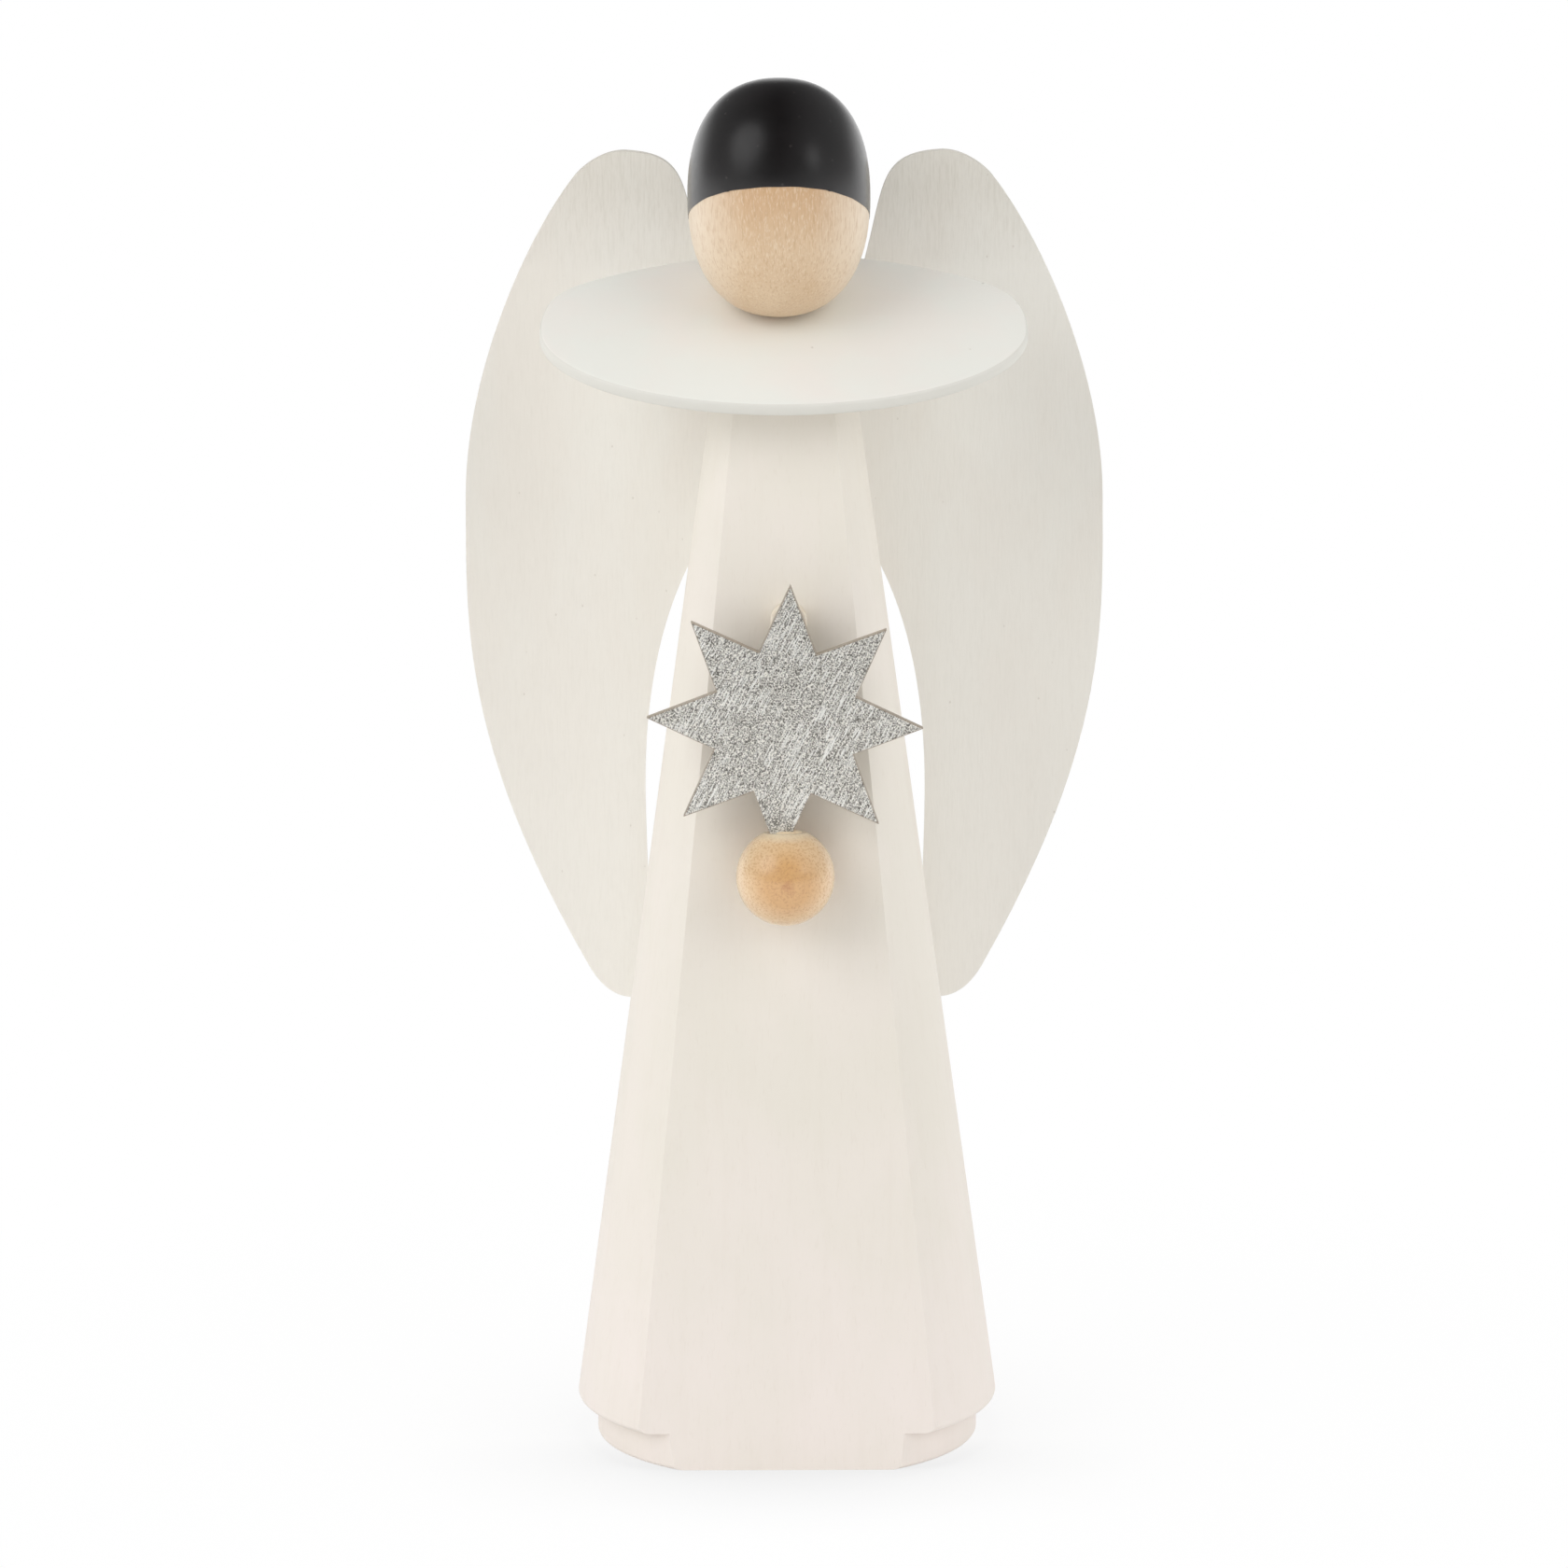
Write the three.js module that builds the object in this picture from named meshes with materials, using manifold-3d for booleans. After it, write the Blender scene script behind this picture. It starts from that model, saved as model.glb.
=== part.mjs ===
// Wooden angel figurine: a turned cone body with a sawn flat front, an egg head with painted hair,
// a tilted oval collar, two bent wings, and a star standing on a ball hand.
// Millimetres, +Z up. The flat front faces -Y. The origin is the centre of the foot, on the turning axis.
import * as THREE from 'three';
import { mergeVertices } from 'three/addons/utils/BufferGeometryUtils.js';
import Module from 'manifold-3d';

const wasm = await Module();
wasm.setup();

// Body: angles are in degrees here and below
const bodyHeight = 114.65; // on the axis, up to the slanted seat of the collar
const footRadius = 19.65;
const footHeight = 3.75;
const footEdgeRound = 0.4;
const rimRadius = 21.75; // sharp lower corner of the cone, before its edge is rounded
const rimEdgeRound = 0.6;
const coneTaper = 7.77; // between the cone's side and the axis
const flatDistance = 15.9; // from the axis to the flat front, at the base
const flatLean = 5.5;

// Collar
const collarWidth = 49.5;
const collarDepth = 25.7;
const collarThickness = 1.5;
const collarTilt = 27.5; // down to the front
const collarWingGap = 0.6; // between the collar's back edge and the wings

// Head and its painted hair
const headWidth = 18.45;
const headHeight = 24.1;
const crownFullness = 2.36; // exponent of the egg's curve: 2 is an ellipse, more is fuller
const chinFullness = 2.31;
const headSeatDepth = 1.2; // sanded off the egg where it sits on the collar
const headBack = 0.8; // head's axis behind the body's
const paintThickness = 0.3;
const hairTilt = 26; // the hairline is high in front and low behind
const hairDrop = 2; // hairline below the middle of the head, on the axis

// Neck dowel, behind the axis so that it enters the head inside its slanted seat
const neckDowelDiameter = 3;
const neckDowelBack = 2.8;
const neckDowelInBody = 12;
const neckDowelInHead = 10;

// Ball hand and its dowel
const ballDiameter = 10;
const ballHeight = 61.5;
const ballSeatDepth = 0.6; // sanded off the ball where it meets the flat front
const ballCrownDepth = 0.5; // sanded off its top under the star
const handDowelDiameter = 2.5;
const handDowelInBody = 6;
const handDowelInBall = 2.6;

// Star and the peg behind its upper point
const starPoints = 8;
const starRadius = 14;
const starInnerRadius = 7.65;
const starThickness = 2;
const starTurn = 2.4; // clockwise, seen from the front
const starInBall = 2.8; // length of the lower point that is let into the ball
const starPegDiameter = 3.7;
const starPegInBody = 4;
const starPegRise = 10; // from the star's centre towards its upper point

// Wings: reach is measured from the axis, rise and fall from the lower corner of the root
const wingThickness = 1.2;
const wingBendRadius = 44;
const wingRootDrop = 14.35; // lower corner of the root below the top of the body
const wingRootReach = 1.6;
const wingRootLength = 9.7;
const wingSeatDepth = 1.3; // of the root's upper corner in the body
const kerfRunout = 3; // the saw cut runs on below the root
const wingReach = 33.1;
const wingWidestFall = 5.4;
const lobeShoulderReach = 21.45;
const lobeShoulderRise = 28.65;
const wingTopReach = 16.1;
const wingTopRise = 31.45;
const lobeInnerReach = 8.4;
const lobeInnerRise = 21;
const tipShoulderReach = 20.7;
const tipShoulderFall = 54.6;
const tipReach = 16.3;
const tipFall = 57.8;
const waistReach = 14.55;
const waistFall = 35.3;
const topOuterHandle = 2.5; // handles set how far each curve keeps its direction
const topInnerHandle = 6.3;
const lobeShoulderUpperHandle = 1.05;
const lobeShoulderLowerHandle = 7.8;
const lobeShoulderSlope = 52;
const widestUpperHandle = 13.4;
const widestLowerHandle = 12;
const shoulderHandle = 27;
const shoulderSlope = 60;
const tipOuterHandle = 2.6;
const tipInnerHandle = 3.1;
const waistUpperHandle = 13.2;
const waistLowerHandle = 9;
const rootLowerHandle = 13.2;
const rootLowerSlope = 41.2;
const rootUpperHandle = 3.4;
const lobeInnerHandle = 7.8;
const lobeInnerSlope = 75;

// Fits
const glueLine = 0.1; // between flat faces that are glued
const dowelGap = 0.2; // around a dowel in its hole
const holeEndGap = 0.3; // between a dowel's end and the bottom of its hole
const kerfGap = 0.3; // around a wing root in its saw cut
const mortiseGap = 0.3; // around the star's lower point in the ball
const paintGap = 0.1; // under the hair's paint skin

// Facets
const bodySides = 72;
const headSides = 36;
const eggSteps = 18;
const dowelSides = 24;
const ballSides = 32;
const collarSteps = 40;
const bendSteps = 18;
const curveSteps = 10;
const edgeSteps = 2;

const { degToRad } = THREE.MathUtils;
const tilt = degToRad(collarTilt);
const lean = degToRad(flatLean);
const quarterTurn = Math.PI / 2;
const cutterSize = 3 * (bodyHeight + rimRadius); // larger than anything that it cuts

const coneRadius = (height) => rimRadius - (height - footHeight) * Math.tan(degToRad(coneTaper));

// A closed mesh, moved by the given matrix, as a solid that can be cut and joined.
function solid(geometry, matrix = new THREE.Matrix4()) {
  const bare = geometry.clone().applyMatrix4(matrix);
  bare.deleteAttribute('normal');
  bare.deleteAttribute('uv');
  const merged = mergeVertices(bare);
  const corners = merged.index.array;
  const triangles = [];
  for (let i = 0; i < corners.length; i += 3) {
    const [a, b, c] = corners.slice(i, i + 3);
    if (a !== b && b !== c && c !== a) triangles.push(a, b, c);
  }
  return new wasm.Manifold(new wasm.Mesh({
    numProp: 3,
    vertProperties: new Float32Array(merged.attributes.position.array),
    triVerts: new Uint32Array(triangles),
  }));
}

function geometryOf(shape) {
  const { vertProperties, triVerts } = shape.getMesh();
  const geometry = new THREE.BufferGeometry();
  geometry.setAttribute('position', new THREE.BufferAttribute(vertProperties, 3));
  geometry.setIndex(new THREE.BufferAttribute(triVerts, 1));
  geometry.computeVertexNormals();
  return geometry;
}

// Where something sits: moved to a point and turned about X, then about its own Y.
function place(x, y, z, turnX = 0, turnY = 0) {
  const matrix = new THREE.Matrix4().makeRotationFromEuler(new THREE.Euler(turnX, turnY, 0));
  return matrix.setPosition(x, y, z);
}

// All space above the XY plane, or in front of the XZ plane, of the given place.
const spaceAbove = (matrix) =>
  solid(new THREE.BoxGeometry(cutterSize, cutterSize, cutterSize).translate(0, 0, cutterSize / 2), matrix);
const spaceInFront = (matrix) =>
  solid(new THREE.BoxGeometry(cutterSize, cutterSize, cutterSize).translate(0, -cutterSize / 2, 0), matrix);

// A turned shape about Z, from points of radius and height that run upward.
const turned = (points, sides) => new THREE.LatheGeometry(points, sides).rotateX(quarterTurn);

// A round bar along Z between two heights, and one along Y between a front and a back end.
const uprightBar = (diameter, back, low, high) =>
  new THREE.CylinderGeometry(diameter / 2, diameter / 2, high - low, dowelSides)
    .rotateX(quarterTurn)
    .translate(0, back, (low + high) / 2);
const levelBar = (diameter, front, back) =>
  new THREE.CylinderGeometry(diameter / 2, diameter / 2, back - front, dowelSides)
    .translate(0, (front + back) / 2, 0);

// An outline drawn in reach and height, made solid between a front and a back.
const panel = (outline, front, back, steps) =>
  new THREE.ExtrudeGeometry(outline, { depth: back - front, bevelEnabled: false, curveSegments: steps })
    .rotateX(quarterTurn)
    .translate(0, back, 0);

// Places that several pieces share
const handPlace = place(0, ballHeight * Math.tan(lean) - flatDistance, ballHeight, -lean);
const ballForward = ballDiameter / 2 - ballSeatDepth; // ball centre in front of the flat
const ballCrown = ballDiameter / 2 - ballCrownDepth; // flat top above the ball centre
const starRise = ballCrown + starRadius - starInBall; // star centre above the ball centre
const starInHand = place(0, -ballForward, starRise, 0, degToRad(starTurn));
const starPegAside = starPegRise * Math.sin(degToRad(starTurn));
const starPegInHand = place(starPegAside, 0, starRise + starPegRise * Math.cos(degToRad(starTurn)));
const starPegFront = starThickness / 2 + glueLine - ballForward;

const wingRootLow = bodyHeight - wingRootDrop;
const wingRootHigh = wingRootLow + wingRootLength;
const wingRootBack = Math.sqrt((coneRadius(wingRootHigh) - wingSeatDepth) ** 2 - wingRootReach ** 2);
const bendSwing = (reach) => Math.asin((wingReach - reach) / wingBendRadius);
const bendCentreBack = wingRootBack - wingBendRadius * Math.cos(bendSwing(wingRootReach));
const wingFrontAt = (reach) =>
  bendCentreBack + (wingBendRadius - wingThickness / 2) * Math.cos(bendSwing(reach));

const collarHalfDepth = collarDepth / 2 * Math.cos(tilt); // seen from above
const collarDepthAtLobe = collarHalfDepth * Math.sqrt(1 - (2 * lobeInnerReach / collarWidth) ** 2);
const collarBack = wingFrontAt(lobeInnerReach) - collarWingGap - collarDepthAtLobe;
const collarSeat = bodyHeight + glueLine / Math.cos(tilt); // underside, on the axis
const collarTop = collarSeat + collarThickness / Math.cos(tilt);
const collarPlace = place(0, collarBack, collarSeat + collarBack * Math.tan(tilt), tilt);

function eggOutline(inset) {
  const points = [];
  for (let step = 0; step <= eggSteps; step += 1) {
    const angle = Math.PI * (step / eggSteps - 0.5);
    const power = 2 / (angle < 0 ? chinFullness : crownFullness);
    const radius = (headWidth / 2 - inset) * Math.abs(Math.cos(angle)) ** power;
    const height = (headHeight / 2 - inset) * Math.sign(angle) * Math.abs(Math.sin(angle)) ** power;
    points.push(new THREE.Vector2(radius, height));
  }
  return points;
}

// The egg's farthest reach towards the slanted collar sets how high the head stands.
const eggToCollar = Math.max(...eggOutline(0).map((p) => p.x * Math.sin(tilt) - p.y * Math.cos(tilt)));
const headSeat = collarTop + headBack * Math.tan(tilt) + glueLine / Math.cos(tilt);
const headCentre = headSeat + (eggToCollar - headSeatDepth) / Math.cos(tilt);
const headPlace = place(0, headBack, headCentre);
const neckDowelLow = bodyHeight - neckDowelInBody;
const neckDowelHigh = collarTop + neckDowelInHead;
const neckHoleDiameter = neckDowelDiameter + 2 * dowelGap;
const neckHole = uprightBar(
  neckHoleDiameter, neckDowelBack, neckDowelLow - holeEndGap, neckDowelHigh + holeEndGap,
);

// Plan of a bent sheet that follows the wing's bend, from its root to past the wing's outer edge.
function bentSheet(side, thickness, rootReach, low, high) {
  const root = quarterTurn + side * bendSwing(rootReach);
  const end = quarterTurn - side * bendSwing(wingReach - wingThickness);
  const plan = new THREE.Shape();
  plan.absarc(side * wingReach, bendCentreBack, wingBendRadius + thickness / 2, root, end, side > 0);
  plan.absarc(side * wingReach, bendCentreBack, wingBendRadius - thickness / 2, end, root, side < 0);
  const options = { depth: high - low, bevelEnabled: false, curveSegments: bendSteps };
  return solid(new THREE.ExtrudeGeometry(plan, options).translate(0, 0, low));
}

function wingOutline(side) {
  const point = (reach, rise) => [side * reach, wingRootLow + rise];
  const handle = (reach, rise, length, slope) =>
    point(reach + length * Math.cos(degToRad(slope)), rise + length * Math.sin(degToRad(slope)));
  const outline = new THREE.Shape();
  outline.moveTo(...point(wingRootReach, 0));
  outline.bezierCurveTo( // inner edge below the root, down to the waist
    ...handle(wingRootReach, 0, rootLowerHandle, -rootLowerSlope),
    ...point(waistReach, waistUpperHandle - waistFall),
    ...point(waistReach, -waistFall),
  );
  outline.bezierCurveTo( // from the waist to the lower tip
    ...point(waistReach, -waistFall - waistLowerHandle),
    ...point(tipReach - tipInnerHandle, -tipFall),
    ...point(tipReach, -tipFall),
  );
  outline.quadraticCurveTo( // rounded tip
    ...point(tipReach + tipOuterHandle, -tipFall),
    ...point(tipShoulderReach, -tipShoulderFall),
  );
  outline.bezierCurveTo( // outer edge, up to the widest place
    ...handle(tipShoulderReach, -tipShoulderFall, shoulderHandle, shoulderSlope),
    ...point(wingReach, -wingWidestFall - widestLowerHandle),
    ...point(wingReach, -wingWidestFall),
  );
  outline.bezierCurveTo( // outer edge, up to the shoulder of the lobe
    ...point(wingReach, widestUpperHandle - wingWidestFall),
    ...handle(lobeShoulderReach, lobeShoulderRise, lobeShoulderLowerHandle, -lobeShoulderSlope),
    ...point(lobeShoulderReach, lobeShoulderRise),
  );
  outline.bezierCurveTo( // rounded top of the lobe
    ...handle(lobeShoulderReach, lobeShoulderRise, -lobeShoulderUpperHandle, -lobeShoulderSlope),
    ...point(wingTopReach + topOuterHandle, wingTopRise),
    ...point(wingTopReach, wingTopRise),
  );
  outline.bezierCurveTo( // inner edge of the lobe
    ...point(wingTopReach - topInnerHandle, wingTopRise),
    ...handle(lobeInnerReach, lobeInnerRise, lobeInnerHandle, lobeInnerSlope),
    ...point(lobeInnerReach, lobeInnerRise),
  );
  outline.bezierCurveTo( // back to the upper corner of the root
    ...handle(lobeInnerReach, lobeInnerRise, -lobeInnerHandle, lobeInnerSlope),
    ...point(wingRootReach + rootUpperHandle, wingRootLength),
    ...point(wingRootReach, wingRootLength),
  );
  outline.closePath();
  return outline;
}

function wingGeometry(side) {
  const panelDepth = bendCentreBack + wingBendRadius + wingThickness;
  const flat = solid(panel(wingOutline(side), 0, panelDepth, curveSteps));
  const sheet = bentSheet(side, wingThickness, wingRootReach, 0, wingRootLow + 2 * wingTopRise);
  return geometryOf(flat.intersect(sheet));
}

function bodyGeometry() {
  const taper = degToRad(coneTaper);
  const rimRoundCentre = rimRadius - rimEdgeRound * (1 + Math.sin(taper)) / Math.cos(taper);
  const blankTop = bodyHeight + coneRadius(bodyHeight) * Math.tan(tilt);
  const profile = new THREE.Path();
  profile.moveTo(0, 0);
  profile.lineTo(footRadius - footEdgeRound, 0);
  profile.absarc(footRadius - footEdgeRound, footEdgeRound, footEdgeRound, -quarterTurn, 0);
  profile.lineTo(footRadius, footHeight);
  profile.lineTo(rimRoundCentre, footHeight);
  profile.absarc(rimRoundCentre, footHeight + rimEdgeRound, rimEdgeRound, -quarterTurn, taper);
  profile.lineTo(coneRadius(blankTop), blankTop);
  profile.lineTo(0, blankTop);
  const handHole = levelBar(handDowelDiameter + 2 * dowelGap, -footRadius, handDowelInBody + holeEndGap);
  const pegHole = levelBar(starPegDiameter + 2 * dowelGap, -footRadius, starPegInBody + holeEndGap);
  const kerfLow = wingRootLow - kerfRunout;
  const kerf = (side) =>
    bentSheet(side, wingThickness + 2 * kerfGap, wingRootReach - kerfGap, kerfLow, blankTop + kerfRunout);
  return geometryOf(
    solid(turned(profile.getPoints(edgeSteps), bodySides))
      .subtract(spaceInFront(place(0, -flatDistance, 0, -lean)))
      .subtract(spaceAbove(place(0, 0, bodyHeight, tilt)))
      .subtract(solid(neckHole))
      .subtract(solid(handHole, handPlace))
      .subtract(solid(pegHole, handPlace.clone().multiply(starPegInHand)))
      .subtract(kerf(1))
      .subtract(kerf(-1)),
  );
}

function collarGeometry() {
  const oval = new THREE.Shape().absellipse(0, 0, collarWidth / 2, collarDepth / 2, 0, 2 * Math.PI, false, 0);
  const plate = new THREE.ExtrudeGeometry(oval, {
    depth: collarThickness,
    bevelEnabled: false,
    curveSegments: collarSteps,
  });
  return geometryOf(solid(plate).subtract(solid(neckHole, collarPlace.clone().invert())));
}

const hairline = place(0, 0, -hairDrop, -degToRad(hairTilt));
const egg = solid(turned(eggOutline(0), headSides));

function headGeometry() {
  const belowHair = egg.subtract(spaceAbove(place(0, 0, -hairDrop - paintGap, -degToRad(hairTilt))));
  const underHair = solid(turned(eggOutline(paintThickness + paintGap), headSides));
  const seat = place(0, 0, headSeat - headCentre, tilt + Math.PI);
  return geometryOf(
    belowHair.add(underHair)
      .subtract(spaceAbove(seat))
      .subtract(solid(neckHole, headPlace.clone().invert())),
  );
}

function hairGeometry() {
  const bareHead = solid(turned(eggOutline(paintThickness), headSides));
  return geometryOf(egg.subtract(bareHead).intersect(spaceAbove(hairline)));
}

function ballGeometry() {
  const dowelHole = levelBar(
    handDowelDiameter + 2 * dowelGap, ballForward - handDowelInBall - holeEndGap, ballDiameter,
  );
  const pointHalfWidth = starInnerRadius * Math.sin(Math.PI / starPoints);
  const pointLength = starRadius - starInnerRadius * Math.cos(Math.PI / starPoints);
  const mortiseWidth = 2 * (starInBall * pointHalfWidth / pointLength + mortiseGap);
  const mortiseDepth = starInBall + mortiseGap + ballCrownDepth;
  const mortise = new THREE.BoxGeometry(mortiseWidth, starThickness + 2 * mortiseGap, mortiseDepth)
    .translate(0, 0, mortiseDepth / 2 - starRadius - mortiseGap);
  return geometryOf(
    solid(new THREE.SphereGeometry(ballDiameter / 2, ballSides, ballSides / 2))
      .subtract(spaceInFront(place(0, ballForward - glueLine, 0, Math.PI)))
      .subtract(spaceAbove(place(0, 0, ballCrown)))
      .subtract(solid(dowelHole))
      .subtract(solid(mortise, place(0, 0, starRise, 0, degToRad(starTurn)))),
  );
}

function starGeometry() {
  const outline = new THREE.Shape();
  const corners = [];
  for (let corner = 0; corner < 2 * starPoints; corner += 1) {
    const radius = corner % 2 ? starInnerRadius : starRadius;
    const angle = Math.PI * corner / starPoints;
    corners.push(new THREE.Vector2(radius * Math.sin(angle), radius * Math.cos(angle)));
  }
  outline.setFromPoints(corners);
  return panel(outline, -starThickness / 2, starThickness / 2, 1);
}

function piece(name, geometry, color, roughness, metalness = 0) {
  const mesh = new THREE.Mesh(geometry, new THREE.MeshStandardMaterial({ color, roughness, metalness }));
  mesh.name = name;
  return mesh;
}

function groupAt(matrix, ...children) {
  const group = new THREE.Group().add(...children);
  matrix.decompose(group.position, group.quaternion, group.scale);
  return group;
}

const whiteGlaze = 0xe9e3da;
const whitePaint = 0xe6e4de;
const paleWood = 0xe7cba4;
const honeyWood = 0xdcae74;
const blackPaint = 0x1c1b1d;
const silverPaint = 0xaeaca6;

const neckDowel = uprightBar(neckDowelDiameter, neckDowelBack, neckDowelLow, neckDowelHigh);
const handDowel = levelBar(handDowelDiameter, -handDowelInBall, handDowelInBody);
const starPeg = levelBar(starPegDiameter, starPegFront, starPegInBody);

const angel = new THREE.Group().add(
  piece('body', bodyGeometry(), whiteGlaze, 0.55),
  piece('neck_dowel', neckDowel, paleWood, 0.7),
  groupAt(collarPlace, piece('collar', collarGeometry(), whitePaint, 0.55)),
  groupAt(
    headPlace,
    piece('head', headGeometry(), paleWood, 0.6),
    piece('hair_paint', hairGeometry(), blackPaint, 0.4),
  ),
  piece('wing_left', wingGeometry(-1), whitePaint, 0.6),
  piece('wing_right', wingGeometry(1), whitePaint, 0.6),
  groupAt(
    handPlace,
    groupAt(place(0, -ballForward, 0), piece('hand_ball', ballGeometry(), honeyWood, 0.4)),
    piece('hand_dowel', handDowel, paleWood, 0.7),
    groupAt(starInHand, piece('star', starGeometry(), silverPaint, 0.4, 0.7)),
    groupAt(starPegInHand, piece('star_peg', starPeg, paleWood, 0.7)),
  ),
);
angel.name = 'angel_figurine';

export default angel;
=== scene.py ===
import math

import bmesh
import bpy
from mathutils import Euler, Matrix, Vector


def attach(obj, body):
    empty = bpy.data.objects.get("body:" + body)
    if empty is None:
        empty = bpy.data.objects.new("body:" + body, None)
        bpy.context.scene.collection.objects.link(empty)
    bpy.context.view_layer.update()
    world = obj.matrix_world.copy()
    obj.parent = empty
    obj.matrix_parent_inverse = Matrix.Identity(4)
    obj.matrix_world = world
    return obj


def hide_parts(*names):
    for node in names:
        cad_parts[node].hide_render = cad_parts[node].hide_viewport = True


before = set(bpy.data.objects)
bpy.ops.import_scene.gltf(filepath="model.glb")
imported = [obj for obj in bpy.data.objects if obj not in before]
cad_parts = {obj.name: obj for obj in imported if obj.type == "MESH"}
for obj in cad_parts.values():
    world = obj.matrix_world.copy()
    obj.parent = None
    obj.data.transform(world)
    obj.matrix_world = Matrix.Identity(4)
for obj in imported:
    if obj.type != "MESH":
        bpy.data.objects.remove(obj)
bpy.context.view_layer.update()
mm = 0.001
weldDistance = 2e-7  # m, points closer than this become one
sawTolerance = 1e-7  # m, points this near the blade count as cut
print("frame loaded:", ", ".join(sorted(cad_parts)))


# Helpers for modelling by operators

def startFresh():
    if bpy.context.mode != "OBJECT":
        bpy.ops.object.mode_set(mode="OBJECT")
    bpy.ops.object.select_all(action="DESELECT")


def pickUp(piece):
    startFresh()
    piece.select_set(True)
    bpy.context.view_layer.objects.active = piece


def openUp(piece):  # edit mode, with everything selected
    pickUp(piece)
    bpy.ops.object.mode_set(mode="EDIT")
    bpy.ops.mesh.select_all(action="SELECT")


def closeUp():
    bpy.ops.object.mode_set(mode="OBJECT")


def settle(piece):  # the place goes into the mesh, the object stays at the origin
    pickUp(piece)
    bpy.ops.object.transform_apply(location=True, rotation=True, scale=True)


def faceFront(piece):  # what was made lying on its back is stood up to face the front
    piece.rotation_euler = (math.pi / 2, 0, 0)
    settle(piece)


def named(name):
    piece = bpy.context.active_object
    piece.name = name
    piece.data.name = name
    return piece


def applyAll(piece):
    pickUp(piece)
    for modifier in list(piece.modifiers):
        bpy.ops.object.modifier_apply(modifier=modifier.name)


def cleanShell(piece):  # doubles merged, faces turned outwards
    openUp(piece)
    bpy.ops.mesh.remove_doubles(threshold=weldDistance)
    bpy.ops.mesh.normals_make_consistent(inside=False)
    closeUp()


def roundEdges(piece, width, segments, angle):
    soft = piece.modifiers.new("softEdges", "BEVEL")
    soft.width = width * mm
    soft.segments = segments
    soft.limit_method = "ANGLE"
    soft.angle_limit = math.radians(angle)
    soft.use_clamp_overlap = True
    applyAll(piece)


def smoothOver(piece, angle):
    pickUp(piece)
    bpy.ops.object.shade_smooth_by_angle(angle=math.radians(angle))


def pullOut(x, y, z):  # extrudes what is selected
    bpy.ops.mesh.extrude_region_move(TRANSFORM_OT_translate={"value": (x * mm, y * mm, z * mm)})


def onePoint(name, x, y, z):  # a single vertex in edit mode, to extrude from
    startFresh()
    bpy.ops.mesh.primitive_plane_add(size=mm)
    piece = named(name)
    openUp(piece)
    bpy.ops.mesh.select_mode(type="VERT")
    bpy.ops.mesh.merge(type="CENTER")
    bpy.ops.transform.translate(value=(x * mm, y * mm, z * mm))
    return piece


def turnOnLathe(name, profile, steps):  # profile of (radius, height), from low to high
    piece = onePoint(name, profile[0][0], 0, profile[0][1])
    for (r0, z0), (r1, z1) in zip(profile, profile[1:]):
        step = ((r1 - r0) * mm, 0, (z1 - z0) * mm)
        bpy.ops.mesh.extrude_vertices_move(TRANSFORM_OT_translate={"value": step})
    bpy.ops.mesh.select_all(action="SELECT")
    bpy.ops.mesh.spin(steps=steps, angle=2 * math.pi, center=(0, 0, 0), axis=(0, 0, 1))
    closeUp()
    cleanShell(piece)
    return piece


def sawOff(piece, point, normal, close=True):  # cuts away what lies on the normal's side
    openUp(piece)
    bpy.ops.mesh.bisect(plane_co=Vector(point) * mm, plane_no=normal, use_fill=close,
                        clear_inner=False, clear_outer=True, threshold=sawTolerance)
    closeUp()


def cutWith(piece, tool, how):
    boolean = piece.modifiers.new("cut", "BOOLEAN")
    boolean.object = tool
    boolean.operation = how
    boolean.solver = "EXACT"
    applyAll(piece)
    startFresh()
    bpy.data.objects.remove(tool)


def markSawn(piece, level):  # faces of a flat-lying plate that aren't its top or underside
    sawn = piece.data.attributes.new("sawnEdge", "FLOAT", "FACE")
    for face in piece.data.polygons:
        sawn.data[face.index].value = 1 if abs(face.normal.z) < level else 0


def finishPiece(piece, node, material):
    piece.data.materials.clear()
    piece.data.materials.append(material)
    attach(piece, "root")
    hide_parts(node)


# Helpers for materials

def fromScreen(r, g, b):  # screen colour 0-255 to the linear colour a shader takes
    def one(v):
        v /= 255
        return v / 12.92 if v <= 0.04045 else ((v + 0.055) / 1.055) ** 2.4
    return (one(r), one(g), one(b), 1)


class Wiring:  # short ways to add nodes to a tree

    def __init__(self, tree):
        self.tree = tree

    def add(self, kind, **values):
        node = self.tree.nodes.new(kind)
        for key, value in values.items():
            setattr(node, key, value)
        return node

    def link(self, a, b):
        self.tree.links.new(a, b)

    def ranged(self, value, low, high, toLow, toHigh):
        node = self.add("ShaderNodeMapRange")
        for key, v in zip(("From Min", "From Max", "To Min", "To Max"), (low, high, toLow, toHigh)):
            node.inputs[key].default_value = v
        self.link(value, node.inputs["Value"])
        return node.outputs["Result"]

    def sums(self, how, a, b=0):
        node = self.add("ShaderNodeMath", operation=how)
        for socket, value in zip(node.inputs, (a, b)):
            if isinstance(value, (int, float)):
                socket.default_value = value
            else:
                self.link(value, socket)
        return node.outputs[0]

    def split(self, vector):
        node = self.add("ShaderNodeSeparateXYZ")
        self.link(vector, node.inputs[0])
        return node.outputs


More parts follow.
